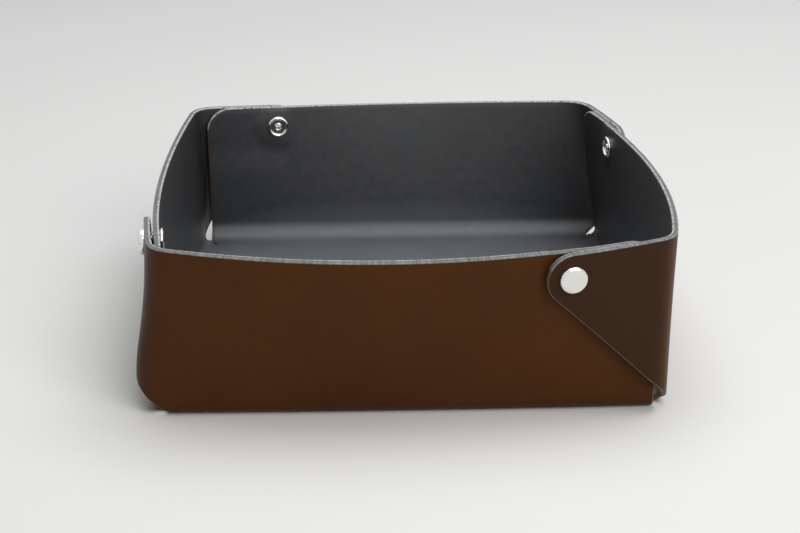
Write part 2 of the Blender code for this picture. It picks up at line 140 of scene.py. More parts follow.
class SnapSizes(PropertyGroup):
    """Sizes of the press snaps."""

    cap_radius: length("Cap radius", "Radius of the outer cap", 0.00625)
    cap_height: length("Cap height", "Height of the cap off the leather", 0.0028)
    cap_bevel: length("Cap bevel", "Width of the rounded rim of the cap", 0.0015)
    post_radius: length("Post radius", "Radius of the head inside", 0.0058)
    post_height: length("Post height", "Height of the head off the lining", 0.0017)
    dish_radius: length("Dish radius", "Radius of the dish in the head", 0.0040)
    barrel_radius: length("Barrel radius", "Radius of the tubes through the leather", 0.0019)
    socket_radius: length("Socket radius", "Radius of the socket behind the cap", 0.0050)
    stud_radius: length("Stud radius", "Radius of the stud's flange", 0.0043)


class Finishes(PropertyGroup):
    """Colours and gloss of leather and metal."""

    leather_color: tint("Leather", "Colour of the outer leather", 0.061, 0.0188, 0.0036)
    # Painted shade and reflection: the flaps face the light another way, so their leather is painted
    # darker and greyer
    flap_shade_color: tint(
        "Flaps", "Colour towards which the leather of the flaps goes", 0.031, 0.0128, 0.0064)
    dust_color: tint("Dust", "Colour of the specks of dust on the leather", 0.25, 0.20, 0.16)
    leather_roughness: share_of_one("Leather roughness", "Roughness of the outer leather", 0.46)
    lining_color: tint("Lining", "Colour of the lining", 0.0065, 0.0067, 0.0073)
    # Partly wear and partly painted sheen: a lighter grey on the bottom of the lining and up its folds
    worn_and_sheen_color: tint("Worn lining", "Colour of the worn lining at the bottom", 0.072, 0.077, 0.085)
    worn_roughness: share_of_one("Worn roughness", "How much rougher the worn lining is", 0.14)
    lining_roughness: share_of_one("Lining roughness", "Roughness of the lining", 0.48)
    edge_color: tint("Edge paint", "Colour of the painted edges", 0.120, 0.122, 0.125)
    edge_highlight: tint(
        "Edge highlight", "Colour of the bright specks along the rims", 0.62, 0.61, 0.59)
    side_color: tint(
        "Side edges", "Colour of the slanted and upright edges", 0.120, 0.070, 0.042)
    metal_color: tint("Metal", "Colour of the snaps", 0.80, 0.78, 0.75)
    metal_roughness: share_of_one("Metal roughness", "Roughness of the snaps", 0.10)
    grain_scale: length("Grain size", "Size of the finest leather grain", 0.0009)


class StageLook(PropertyGroup):
    """Floor, light and camera."""

    floor_color: tint("Floor", "Colour of the floor", 0.80, 0.79, 0.77)
    seen_color: tint("Backdrop", "Colour seen behind the floor and in the metal", 0.86, 0.85, 0.83)
    world_strength: FloatProperty(
        name="World", description="Strength of the light from all round", default=0.06, min=0)
    sky_power: power("Sky", "Power of the soft lamp above and behind the tray", 36.0)
    room_power: power("Room", "Power of the soft lamp in front of the tray", 19.0)
    lens: FloatProperty(
        name="Lens", description="Focal length of the camera, in millimetres", default=70.63, min=1)
    distance: length("Distance", "From the camera to what it looks at", 0.7921)
    elevation: angle("Elevation", "Angle of the camera above the floor", 0.3632)
    azimuth: angle("Azimuth", "Angle of the camera round the tray", -0.0105)
    roll: angle("Roll", "Tilt of the camera", -0.0104)
    target: FloatVectorProperty(
        name="Target", description="What the camera looks at", default=(-0.0019, 0.0, 0.0256),
        subtype="TRANSLATION")


class ValetTray(PropertyGroup):
    """All settings of the tray."""

    tray: PointerProperty(type=TraySizes)
    snaps: PointerProperty(type=SnapSizes)
    finishes: PointerProperty(type=Finishes)
    stage: PointerProperty(type=StageLook)
    turned_sides: IntProperty(
        name="Turned sides", description="Facets round each snap", default=72, min=12)


# Shape of the tray: p runs along a wall towards its plain end, z runs up it

FLARE_POWER = 1.5
# Length of a bend's handles, as a share of the way to where its two ends would meet
WRAP_TIGHTNESS_FOOT = 0.62
WRAP_TIGHTNESS_RIM = 0.72
# The ring pressed in round each snap
PRESS_DEPTH = 0.00008
PRESS_REACH = 0.0090
PRESS_RADIUS = 0.0060
# Where a plain end comes nearer to its flap: clear of the snap, beyond it, and high up
HUG_RADIUS = 0.0075
HUG_START = 0.0110
HUG_FADE = 0.0080
HUG_LOW = 0.0450
HUG_RISE = 0.0200


def mix(low, high, share):
    return low + (high - low) * share


def smooth_step(share):
    share = min(max(share, 0.0), 1.0)
    return share * share * (3 - 2 * share)


class Wall:
    """One wall of the tray, with its corner bend and flap at the start of it."""

    def __init__(self, sizes, index):
        self.sizes = sizes
        self.index = index
        self.turn = index * math.pi / 2
        halves = (sizes.width / 2, sizes.depth / 2)
        self.along, self.outward = halves if index % 2 == 0 else halves[::-1]
        self.bow, self.draw_in = sizes.bows[index], sizes.draw_ins[index]
        self.dip, self.flare_reach = sizes.dips[index], sizes.flares[index]
        self.hug_reach, self.fold_radius = sizes.hugs[index], sizes.fold_radii[index]
        self.start = sizes.bend_start - self.along
        self.end = self.along - sizes.plain_inset
        self.flap_lift = sizes.standoff + sizes.leather
        # On the flat blank, heights start this much further out, for the length of the fold
        self.rise = self.fold_radius * (math.pi / 2 - 1)
        self.bend_length = (sizes.bend_start + self.flap_lift + sizes.bend_end) * math.pi / 4
        self.before = None

    # Places in space

    def to_world(self, along, outward, up):
        cosine, sine = math.cos(self.turn), math.sin(self.turn)
        return Vector((along * cosine + outward * sine, along * sine - outward * cosine, up))

    def lean(self, p):
        share = p / self.along
        reach = self.bow * (1 - share ** 2) - self.draw_in * ((1 + share) / 2) ** 2
        return reach / self.sizes.rim_height

    def lean_change(self, p):
        share = p / self.along
        reach = -2 * self.bow * share - self.draw_in * (1 + share) / 2
        return reach / (self.along * self.sizes.rim_height)

    def point(self, p, z, lift):
        """Point on the outer face, lifted off it along its normal."""
        normal = Vector((-self.lean_change(p) * z, 1, -self.lean(p))).normalized()
        place = Vector((p, self.outward + self.lean(p) * z, z)) + normal * lift
        return self.to_world(*place)

    def direction(self, p, z):
        return self.to_world(1, self.lean_change(p) * z, 0).normalized()

    def fold_point(self, p, share, lift):
        """Point on the rounded fold between the bottom (share 0) and the wall (share 1)."""
        angle = share * math.atan2(1, self.lean(p))
        radius = self.fold_radius
        outward = self.fold_centre(p) + (radius + lift) * math.sin(angle)
        return self.to_world(p, outward, radius - (radius + lift) * math.cos(angle))

    def fold_centre(self, p):
        slope = self.lean(p)
        return self.outward + self.fold_radius * (slope - math.hypot(1, slope))

    def profile_point(self, p, z, lift):
        """Point at a height on the wall, or on the fold where it is lower than the fold's top."""
        if z >= self.fold_top(p):
            return self.point(p, z, lift)
        return self.fold_point(p, self.fold_angle(z) / math.atan2(1, self.lean(p)), lift)

    def fold_angle(self, z):
        return math.acos(1 - z / self.fold_radius)

    def fold_top(self, p):
        slope = self.lean(p)
        return self.fold_radius * (1 - slope / math.hypot(1, slope))

    def rim(self, p):
        return self.sizes.rim_height - self.dip * (1 - (p / self.along) ** 2)

    def top(self, p):
        """Rim of the wall, rounded off at its plain end."""
        radius = self.sizes.plain_radius
        over = p - (self.end - radius)
        if over <= 0:
            return self.rim(p)
        return self.rim(p) - radius + math.sqrt(max(radius ** 2 - over ** 2, 0))

    def bend_slope(self):
        """How far the bend shifts along the wall with height, as the wall before leans in."""
        return -self.before.lean(self.before.end)

    def shift(self, p):
        """That slope at a place on the wall, running out at the snap."""
        snap = self.along - self.sizes.snap_inset
        share = (p - self.start) / (snap - self.start)
        return self.bend_slope() * min(max(1 - share, 0), 1)

    # The flap that lies on this wall: q runs from the face of the flap's own wall

    def tip_centre(self):
        radius = self.sizes.tip_radius
        q = self.sizes.snap_inset + self.sizes.tip_reach - radius
        return q, self.rim(self.along - q) - radius

    def slant_angle(self):
        centre_q, centre_z = self.tip_centre()
        across, up = centre_q - self.sizes.foot_inset, centre_z - self.sizes.foot_height
        return math.atan2(up, across) - math.asin(self.sizes.tip_radius / math.hypot(across, up))

    def slant(self, q):
        return self.sizes.foot_height + (q - self.sizes.foot_inset) * math.tan(self.slant_angle())

    def flap_top(self, q):
        return self.rim(self.along - q)

    def flap_point(self, q, z, lift):
        """Point on the flap lying on this wall. Low down, the bend tucks in again."""
        flare = self.flare_reach * max(1 - z / self.sizes.flare_top, 0) ** FLARE_POWER
        tuck = math.sin(min(max(z / self.sizes.tuck_top, 0), 1) * math.pi / 2)
        return self.point(self.along - q, z, self.flap_lift + flare * tuck + lift)

    # The bend: s runs from 0 at this wall to 1 at the flap on the wall before

    def bend_bottom(self, s):
        return mix(self.sizes.edge_start, self.before.slant(self.sizes.bend_end), s)

    def bend_top(self, s):
        return mix(self.rim(self.start), self.before.flap_top(self.sizes.bend_end), s)

    def bend_point(self, s, z, lift):
        """Point on a curve that leaves this wall and meets the flap smoothly."""
        before, inset = self.before, self.sizes.bend_end
        begin = self.start + self.bend_slope() * z
        start, end = self.profile_point(begin, z, lift), before.flap_point(inset, z, lift)
        leave = -self.direction(begin, z)
        arrive = -before.direction(before.along - inset, z)
        gap = end - start
        turn = leave.x * arrive.y - leave.y * arrive.x
        from_start = (gap.x * arrive.y - gap.y * arrive.x) / turn
        from_end = (leave.x * gap.y - leave.y * gap.x) / turn
        tightness = mix(WRAP_TIGHTNESS_FOOT, WRAP_TIGHTNESS_RIM, z / self.sizes.rim_height)
        first = start + leave * (tightness * from_start)
        second = end - arrive * (tightness * from_end)
        rest = 1 - s
        return (start * rest ** 3 + first * (3 * rest ** 2 * s)
                + second * (3 * rest * s ** 2) + end * s ** 3)

    # The cut blank: u runs along the wall and back over its bend and flap, w runs out from the fold

    def flap_u(self, q):
        return self.start - self.bend_length - (q - self.sizes.bend_end)

    def wall_hole(self):
        """Centre on the blank of the hole for the stud."""
        p = self.along - self.sizes.snap_inset
        return p, self.rim(p) - self.sizes.snap_drop + self.rise

    def flap_hole(self):
        """Centre on the blank of the hole for the cap."""
        q = self.sizes.snap_inset
        z = self.before.rim(self.before.along - q) - self.sizes.snap_drop
        return self.flap_u(q), z + self.rise

    def height(self, u, w):
        """Height of a place on the blank once it is folded up."""
        place = max(u, self.start)
        fold = self.fold_top(place) + self.rise
        if w >= fold:
            return w - self.rise
        turn = w / fold * math.atan2(1, self.lean(place))
        return self.fold_radius * (1 - math.cos(turn))

    def out_at(self, z):
        """How far out on the blank a place of the bend at a height is."""
        low = self.fold_top(self.start)
        if z >= low:
            return z + self.rise
        return self.fold_angle(z) / math.atan2(1, self.lean(self.start)) * (low + self.rise)

    def place(self, u, w, lift):
        """Point in space of a place on the blank."""
        if w <= 0:
            return self.fold_point(u, 0, lift) + self.to_world(0, w, 0)
        z = self.height(u, w)
        if u <= self.start - self.bend_length:
            q = self.sizes.bend_end + self.start - self.bend_length - u
            return self.before.flap_point(q, z, lift - self.pressed(u, w, self.flap_hole()))
        if u < self.start:
            return self.bend_point((self.start - u) / self.bend_length, z, lift)
        lift += self.hug(u, w) - self.pressed(u, w, self.wall_hole())
        return self.profile_point(u + self.shift(u) * z, z, lift)

    def hug(self, u, w):
        """How far the wall's plain end comes nearer to the flap, round the snap and high up."""
        hole_u, hole_w = self.wall_hole()
        share = smooth_step((math.hypot(u - hole_u, w - hole_w) - HUG_RADIUS) / HUG_FADE)
        share *= smooth_step((u - hole_u + HUG_START) / HUG_FADE)
        return self.hug_reach * share * smooth_step((w - HUG_LOW) / HUG_RISE)

    def pressed(self, u, w, centre):
        """How far the leather is pressed in round a snap."""
        away = math.hypot(u - centre[0], w - centre[1])
        return PRESS_DEPTH * smooth_step((PRESS_REACH - away) / (PRESS_REACH - PRESS_RADIUS))

    def blank(self, u, w):
        """The same place on the flat blank, in the tray's own frame."""
        return self.to_world(u, self.fold_centre(max(u, self.start)) + w, 0)


def make_walls(sizes):
    walls = [Wall(sizes, index) for index in range(4)]
    for wall in walls:
        wall.before = walls[wall.index - 1]
    return walls


def snap_frame(wall):
    """Frame of the snap at a wall's plain end: origin on its outer face, Z straight out."""
    p = wall.along - wall.sizes.snap_inset
    z = wall.rim(p) - wall.sizes.snap_drop
    face = wall.point(p, z, 0)
    z_axis = (wall.point(p, z, 1) - face).normalized()
    y_axis = z_axis.cross(wall.direction(p, z)).normalized()
    made = Matrix((y_axis.cross(z_axis), y_axis, z_axis)).transposed().to_4x4()
    made.translation = face
    return made


# Outlines on the cut blank, all anticlockwise, each place with whether the edge after it is free

# The seam: how far in from the fold a wall meets the floor, how far the floor laps past that
# and how much deeper it lies
SEAM_INSET = 0.0040
SEAM_TAPER = 0.0060
SEAM_LENGTH = 0.0020
SEAM_OVERLAP = 0.0004
SEAM_STEP = 0.00001
# Spacing of the points along edges and over the faces
EDGE_STEP = 0.0012
FLAP_STEP = 0.0022
BEND_STEP = 0.0010
WALL_STEP = 0.0026
SEAM_ROW = 0.0013
FOLD_ROW = 0.0009
WALL_ROW = 0.0024
FLOOR_STEP = 0.005
GRID_CLEARANCE = 0.0014
HOLE_CLEARANCE = 0.0008
# A triangle whose middle is within this share of a hole's radius lies in the hole
HOLE_SHARE = 0.98
HOLE_SIDES = 36
EDGE_TURNS = 4
# Below this sine of the turn, two edges of an outline count as one straight edge
STRAIGHT_TURN = 0.05
SAME_PLACE = 1e-7
SHARP_ANGLE = 40
# Material slots of the leather
FACE, LINING, EDGE = 0, 1, 2
# Where the edge is painted as a rim, and where the flaps take their painted shade and cool painted
# reflection
RIM_BAND = 0.0060
RIM_FADE = 0.0030
FLAP_FADE = 0.0120


def steps(low, high, size):
    """Evenly spaced values from low up to but not including high."""
    count = max(2, round(abs(high - low) / size))
    return [mix(low, high, i / count) for i in range(count)]


def seam_places(wall):
    """Places of the seam between a wall and the floor, from the wall's start to its plain end."""
    values = steps(wall.start, wall.end, SEAM_LENGTH) + [wall.end]
    places = []
    for p in values:
        taper = min(p - wall.start, wall.end - p) / SEAM_TAPER
        places.append((p, -SEAM_INSET * min(taper, 1)))
    return places


def wall_outline(wall):
    """Outline of a wall with its bend and flap."""
    sizes, rise = wall.sizes, wall.rise
    outline = [(u, w, False) for u, w in seam_places(wall)[:-1]]
    radius = sizes.plain_radius
    corner = wall.end - radius
    outline += [(wall.end, w, True) for w in steps(0, wall.rim(wall.end) - radius + rise, EDGE_STEP)]
    for turn in steps(0, math.pi / 2, EDGE_STEP / radius):
        u = corner + radius * math.cos(turn)
        outline.append((u, wall.rim(u) - radius + radius * math.sin(turn) + rise, True))
    outline += [(u, wall.rim(u) + rise, True) for u in steps(corner, wall.start, EDGE_STEP)]
    length = wall.bend_length
    shares = steps(0, 1, EDGE_STEP / length)
    outline += [(wall.start - s * length, wall.bend_top(s) + rise, True) for s in shares]
    before, radius = wall.before, sizes.tip_radius
    centre_q, centre_z = before.tip_centre()
    outline += [
        (wall.flap_u(q), before.flap_top(q) + rise, True)
        for q in steps(sizes.bend_end, centre_q, EDGE_STEP)]
    slant = before.slant_angle()
    for turn in steps(math.pi / 2, -math.pi / 2 + slant, EDGE_STEP / radius):
        outline.append((
            wall.flap_u(centre_q + radius * math.cos(turn)),
            centre_z + radius * math.sin(turn) + rise, True))
    tangent_q = centre_q + radius * math.sin(slant)
    outline += [
        (wall.flap_u(q), before.slant(q) + rise, True)
        for q in steps(tangent_q, sizes.bend_end, EDGE_STEP)]
    outline += [
        (wall.start - s * length, wall.out_at(wall.bend_bottom(s)), True)
        for s in steps(1, 0, EDGE_STEP / length)]
    foot = wall.out_at(wall.bend_bottom(0))
    outline += [(wall.start, w, True) for w in steps(foot, 0, EDGE_STEP)]
    return outline


def floor_outline(walls):
    """Outline of the floor in its own plane, which is seen from below."""
    outline = []
    for wall in reversed(walls):
        for number, (u, w) in enumerate(reversed(seam_places(wall))):
            point = wall.fold_point(u, 0, 0) + wall.to_world(0, w + SEAM_OVERLAP, 0)
            last = number == len(seam_places(wall)) - 1
            outline.append((point.x, -point.y, last))
    return outline


def floor_place(sizes, a, b, lift):
    """Place on the floor, whose face and back lie a hair deeper than those of the walls over it."""
    middle = sizes.leather / 2
    return Vector((a, -b, middle - (lift + middle) * (1 - SEAM_STEP / middle)))


def inset(outline, distance):
    """The outline moved inwards along its free edges and kept where its seams are."""
    points = np.array([place[:2] for place in outline])
    free = np.array([place[2] for place in outline], float)
    along = np.roll(points, -1, 0) - points
    along /= np.linalg.norm(along, axis=1)[:, None]
    inward = np.stack([-along[:, 1], along[:, 0]], 1)
    reach = distance * free
    last, last_reach = np.roll(inward, 1, 0), np.roll(reach, 1)
    turn = last[:, 0] * inward[:, 1] - last[:, 1] * inward[:, 0]
    straight = np.abs(turn) < STRAIGHT_TURN
    divisor = np.where(straight, 1, turn)
    corner = np.stack([
        (last_reach * inward[:, 1] - reach * last[:, 1]) / divisor,
        (last[:, 0] * reach - inward[:, 0] * last_reach) / divisor], 1)
    level = (last * last_reach[:, None] + inward * reach[:, None]) / 2
    return points + np.where(straight[:, None], level, corner)


def edge_profile(leather, rounding):
    """Insets and lifts across an edge, from the outer face round to the lining."""
    turns = [i / EDGE_TURNS * math.pi / 2 for i in range(EDGE_TURNS + 1)]
    outer = [(rounding * (1 - math.sin(turn)), -rounding * (1 - math.cos(turn))) for turn in turns]
    return outer + [(depth, -leather - lift) for depth, lift in reversed(outer)]


def inside(points, loop):
    """Which points lie inside the loop."""
    start, end = loop, np.roll(loop, -1, 0)
    x, y = points[:, 0][:, None], points[:, 1][:, None]
    crosses = (start[:, 1] > y) != (end[:, 1] > y)
    rise = np.where(end[:, 1] == start[:, 1], 1, end[:, 1] - start[:, 1])
    at = start[:, 0] + (y - start[:, 1]) / rise * (end[:, 0] - start[:, 0])
    return (crosses & (x < at)).sum(1) % 2 == 1


def grid_places(columns, rows, loop, holes):
    """Places of a grid that lie well inside the loop and outside the holes."""
    grid = np.array([(u, w) for u in columns for w in rows])
    keep = inside(grid, loop)
    near = np.min(np.linalg.norm(grid[:, None] - loop[None], axis=2), axis=1)
    keep &= near > GRID_CLEARANCE
    for centre, radius, _ in holes:
        keep &= np.linalg.norm(grid - np.array(centre), axis=1) > radius + HOLE_CLEARANCE
    return grid[keep]


class LeatherMesh:
    """A closed piece of leather: a face and a back alike, with rounded edges and lined holes."""

    def __init__(self, place, blank, sizes, flap_start=-1.0):
        self.place = place
        self.blank = blank
        self.leather = sizes.leather
        self.rim_start = sizes.rim_height - RIM_BAND
        self.flap_start = flap_start
        self.points, self.blanks, self.across, self.rims, self.flaps = [], [], [], [], []
        self.polygons, self.finishes = [], []

    def add(self, places, lift):
        first = len(self.points)
        for u, w in places:
            self.points.append(self.place(u, w, lift))
            self.blanks.append(self.blank(u, w))
            self.rims.append(smooth_step((w - self.rim_start) / RIM_FADE))
            # Share of the flaps' painted shade and reflection
            self.flaps.append(smooth_step((self.flap_start - u) / FLAP_FADE))
            self.across.append(-lift / self.leather)
        return list(range(first, first + len(places)))

    def band(self, start, end, flip, free):
        """Join two loops with quads, painted only where the edge is free."""
        quads = zip(start, start[1:] + start[:1], end, end[1:] + end[:1], free)
        for a, b, c, d, painted in quads:
            self.polygons.append((a, b, d, c) if flip else (b, a, c, d))
            self.finishes.append(EDGE if painted else LINING)

    def fill(self, outline, rounding, holes, columns, rows):
        rim = edge_profile(self.leather, rounding)
        free = [place[2] for place in outline]
        loop = inset(outline, rim[0][0])
        hole_loops = []
        for centre, radius, _ in holes:
            turns = [i / HOLE_SIDES * 2 * math.pi for i in range(HOLE_SIDES)]
            hole_loops.append([
                (centre[0] + radius * math.cos(turn), centre[1] + radius * math.sin(turn))
                for turn in turns])
        grid = grid_places(columns, rows, loop, holes)
        places = [tuple(place) for place in loop]
        edges = []
        for hole in hole_loops:
            first = len(places)
            places += hole
            edges += [(first + i, first + (i + 1) % HOLE_SIDES) for i in range(HOLE_SIDES)]
        places += [tuple(place) for place in grid]
        found, _, triangles, sources, _, _ = delaunay_2d_cdt(
            [Vector(place) for place in places], edges, [list(range(len(loop)))], 1, SAME_PLACE)
        number = {source: index for index, group in enumerate(sources) for source in group}
        flat = np.array([tuple(place) for place in found])
        kept = []
        for triangle in triangles:
            middle = flat[list(triangle)].mean(0)
            if all(math.dist(middle, centre) > radius * HOLE_SHARE for centre, radius, _ in holes):
                kept.append(tuple(triangle))
        face = self.add(flat, 0)
        back = self.add(flat, -self.leather)
        for triangle in kept:
            self.polygons.append(tuple(face[i] for i in triangle))
            self.finishes.append(FACE)
            self.polygons.append(tuple(back[i] for i in reversed(triangle)))
            self.finishes.append(LINING)
        outer = [number[i] for i in range(len(loop))]
        ring = [face[i] for i in outer]
        for depth, lift in rim[1:-1]:
            following = self.add(inset(outline, depth), lift)
            self.band(ring, following, False, free)
            ring = following
        self.band(ring, [back[i] for i in outer], False, free)
        first = len(loop)
        for (centre, radius, profile), hole in zip(holes, hole_loops):
            outer = [number[first + i] for i in range(HOLE_SIDES)]
            first += HOLE_SIDES
            ring = [face[i] for i in outer]
            for reach, lift in profile:
                scaled = [
                    (mix(centre[0], u, reach / radius), mix(centre[1], w, reach / radius))
                    for u, w in hole]
                following = self.add(scaled, lift)
                self.band(ring, following, True, [True] * HOLE_SIDES)
                ring = following
            self.band(ring, [back[i] for i in outer], True, [True] * HOLE_SIDES)

    def build(self, name):
        mesh = bpy.data.meshes.new(name)
        mesh.from_pydata(self.points, [], self.polygons)
        mesh.polygons.foreach_set("material_index", self.finishes)
        blanks = mesh.attributes.new("blank", "FLOAT_VECTOR", "POINT")
        blanks.data.foreach_set("vector", np.array([tuple(b) for b in self.blanks]).ravel())
        for kind, values in (("across", self.across), ("rim", self.rims), ("flap", self.flaps)):
            mesh.attributes.new(kind, "FLOAT", "POINT").data.foreach_set("value", values)
        mesh.shade_smooth()
        mesh.set_sharp_from_angle(angle=math.radians(SHARP_ANGLE))
        return mesh


def wall_grid(wall):
    """Columns and rows of the grid: closer together over the bend and the fold."""
    sizes = wall.sizes
    tip = wall.flap_u(sizes.snap_inset + sizes.tip_reach)
    bend = wall.start - wall.bend_length
    columns = steps(tip, bend, FLAP_STEP) + steps(bend, wall.start, BEND_STEP)
    columns += steps(wall.start, wall.end, WALL_STEP)
    fold = wall.fold_top(wall.start) + wall.rise
    top = sizes.rim_height + wall.rise
    rows = steps(-SEAM_INSET, 0, SEAM_ROW) + steps(0, fold, FOLD_ROW) + steps(fold, top, WALL_ROW)
    return columns, rows


def add_piece(name, mesh, materials):
    made = bpy.data.objects.new(name, mesh)
    bpy.context.scene.collection.objects.link(made)
    for material in materials:
        mesh.materials.append(material)
    return made


def leather_materials(finishes):
    return [brown_leather(finishes), black_lining(finishes), painted_edge(finishes)]


# Materials

class Shader:
    """A Principled material, with short calls for its nodes."""

    def __init__(self, name):
        self.material = bpy.data.materials.new(name)
        self.material.use_nodes = True
        self.nodes = self.material.node_tree.nodes
        self.links = self.material.node_tree.links
        self.principled = self.nodes["Principled BSDF"]

    def put(self, socket, value):
        """Set an input to a value, or link it where the value is another socket."""
        if isinstance(value, bpy.types.NodeSocket):
            self.links.new(value, socket)
        else:
            socket.default_value = value

    def set(self, **values):
        for name, value in values.items():
            self.put(self.principled.inputs[name.replace("_", " ")], value)

    def attribute(self, name):
        node = self.nodes.new("ShaderNodeAttribute")
        node.attribute_name = name
        return node

    def noise(self, vector, size, detail, roughness=0.55):
        """Noise with blobs of about the given size in metres."""
        node = self.nodes.new("ShaderNodeTexNoise")
        self.put(node.inputs["Vector"], vector)
        self.put(node.inputs["Scale"], 1 / size)
        self.put(node.inputs["Detail"], detail)
        self.put(node.inputs["Roughness"], roughness)
        return node.outputs["Fac"]

    def cells(self, vector, size):
        node = self.nodes.new("ShaderNodeTexVoronoi")
        self.put(node.inputs["Vector"], vector)
        self.put(node.inputs["Scale"], 1 / size)
        return node.outputs["Distance"]

    def separate(self, vector):
        node = self.nodes.new("ShaderNodeSeparateXYZ")
        self.put(node.inputs[0], vector)
        return node.outputs

    def math(self, operation, first, second):
        node = self.nodes.new("ShaderNodeMath")
        node.operation = operation
        self.put(node.inputs[0], first)
        self.put(node.inputs[1], second)
        return node.outputs[0]

    def spread(self, value, low, high, to_low=0.0, to_high=1.0):
        """Map a range of a value to another range, clamped."""
        node = self.nodes.new("ShaderNodeMapRange")
        for socket, number in zip(node.inputs, (value, low, high, to_low, to_high)):
            self.put(socket, number)
        return node.outputs[0]

    def color(self, share, first, second):
        node = self.nodes.new("ShaderNodeMix")
        node.data_type = "RGBA"
        self.put(node.inputs["Factor"], share)
        self.put(node.inputs[6], first if isinstance(first, bpy.types.NodeSocket) else (*first, 1))
        self.put(node.inputs[7], second if isinstance(second, bpy.types.NodeSocket) else (*second, 1))
        return node.outputs[2]

    def bump(self, height, distance, strength, normal=None):
        node = self.nodes.new("ShaderNodeBump")
        self.put(node.inputs["Height"], height)
        self.put(node.inputs["Distance"], distance)
        self.put(node.inputs["Strength"], strength)
        if normal is not None:
            self.put(node.inputs["Normal"], normal)
        return node.outputs["Normal"]


# Size of the pores against the grain, depth of the waves in metres, and spread of the roughness
PORE_WIDTH = 1.3
WAVE_DEPTH = 0.00060
ROUGHNESS_RANGE = 0.05
# How far out from the middle the bottom's wear and painted sheen start and are full
WEAR_AND_SHEEN_START, WEAR_AND_SHEEN_FULL = 0.134, 0.112


def shade(color, factor):
    return tuple(channel * factor for channel in color[:3])


def grained(made, blank, finishes, depth, strength, wave_size, wave_strength):
    """Fine grain and pores on soft waves, as a normal."""
    grain = made.noise(blank, finishes.grain_scale, 3, 0.6)
    pores = made.cells(blank, finishes.grain_scale * PORE_WIDTH)
    height = made.math("ADD", made.math("MULTIPLY", grain, 0.6), made.math("MULTIPLY", pores, 0.4))
    normal = made.bump(height, depth, strength)
    return made.bump(made.noise(blank, wave_size, 2), WAVE_DEPTH, wave_strength, normal)


def mottled_roughness(made, mottle, middle):
    return made.spread(mottle, 0.3, 0.7, middle - ROUGHNESS_RANGE, middle + ROUGHNESS_RANGE)


def brown_leather(finishes):
    """Smooth chocolate leather: fine pores, faint clouds of colour, a few specks of dust, and painted
    shade and reflection on the flaps.
    """
    made = Shader("brown_leather")
    blank = made.attribute("blank").outputs["Vector"]
    clouds = made.noise(blank, 0.055, 3)
    mottle = made.noise(blank, 0.006, 5, 0.6)
    tone = made.math("ADD", made.math("MULTIPLY", clouds, 0.6), made.math("MULTIPLY", mottle, 0.4))
    base = finishes.leather_color
    color = made.color(made.spread(tone, 0.36, 0.64), shade(base, 0.88), shade(base, 1.12))
    # Painted shade and reflection: the leather goes darker and greyer over the flaps, which face the
    # light another way
    flap = made.attribute("flap").outputs["Fac"]
    color = made.color(flap, color, finishes.flap_shade_color)
    specks = made.spread(made.cells(blank, 0.009), 0.030, 0.018, 0, 0.45)
    dust = made.math("MULTIPLY", specks, made.spread(clouds, 0.45, 0.60))
    color = made.color(dust, color, finishes.dust_color)
    made.set(
        Base_Color=color,
        Roughness=mottled_roughness(made, mottle, finishes.leather_roughness),
        Normal=grained(made, blank, finishes, 0.00006, 0.55, 0.020, 0.35),
        Specular_IOR_Level=0.18,
        # Warm specular tint: painted warm reflection of warm surroundings
        Specular_Tint=(1.0, 0.74, 0.52, 1))
    return made.material


def black_lining(finishes):
    """Smooth near black lining with a soft sheen and faint scuffs, lighter grey on the bottom and up its
    folds: partly wear, partly painted sheen.
    """
    made = Shader("black_lining")
    blank = made.attribute("blank").outputs["Vector"]
    clouds = made.noise(blank, 0.045, 4, 0.6)
    mottle = made.noise(blank, 0.004, 4, 0.6)
    base = finishes.lining_color
    color = made.color(made.spread(clouds, 0.35, 0.65), shade(base, 0.85), shade(base, 1.18))
    parts = made.separate(blank)
    reach = made.math("ADD", made.math("POWER", parts[0], 4), made.math("POWER", parts[1], 4))
    reach = made.math("POWER", reach, 0.25)
    patches = made.spread(clouds, 0.25, 0.75, 0.7, 1)
    # Lighter grey on the bottom and up the folds: partly wear, partly painted sheen of light
    worn_and_sheen = made.math("MULTIPLY", made.spread(reach, WEAR_AND_SHEEN_START, WEAR_AND_SHEEN_FULL), patches)
    rougher = made.math("MULTIPLY", worn_and_sheen, finishes.worn_roughness)
    rough = mottled_roughness(made, mottle, finishes.lining_roughness)
    made.set(
        Base_Color=made.color(worn_and_sheen, color, finishes.worn_and_sheen_color),
        Roughness=made.math("ADD", rough, rougher),
        Normal=grained(made, blank, finishes, 0.00005, 0.5, 0.022, 0.4),
        Specular_IOR_Level=1.0,
        # Cool specular tint: painted cool reflection of the light
        Specular_Tint=(0.93, 0.96, 1.0, 1))
    return made.material


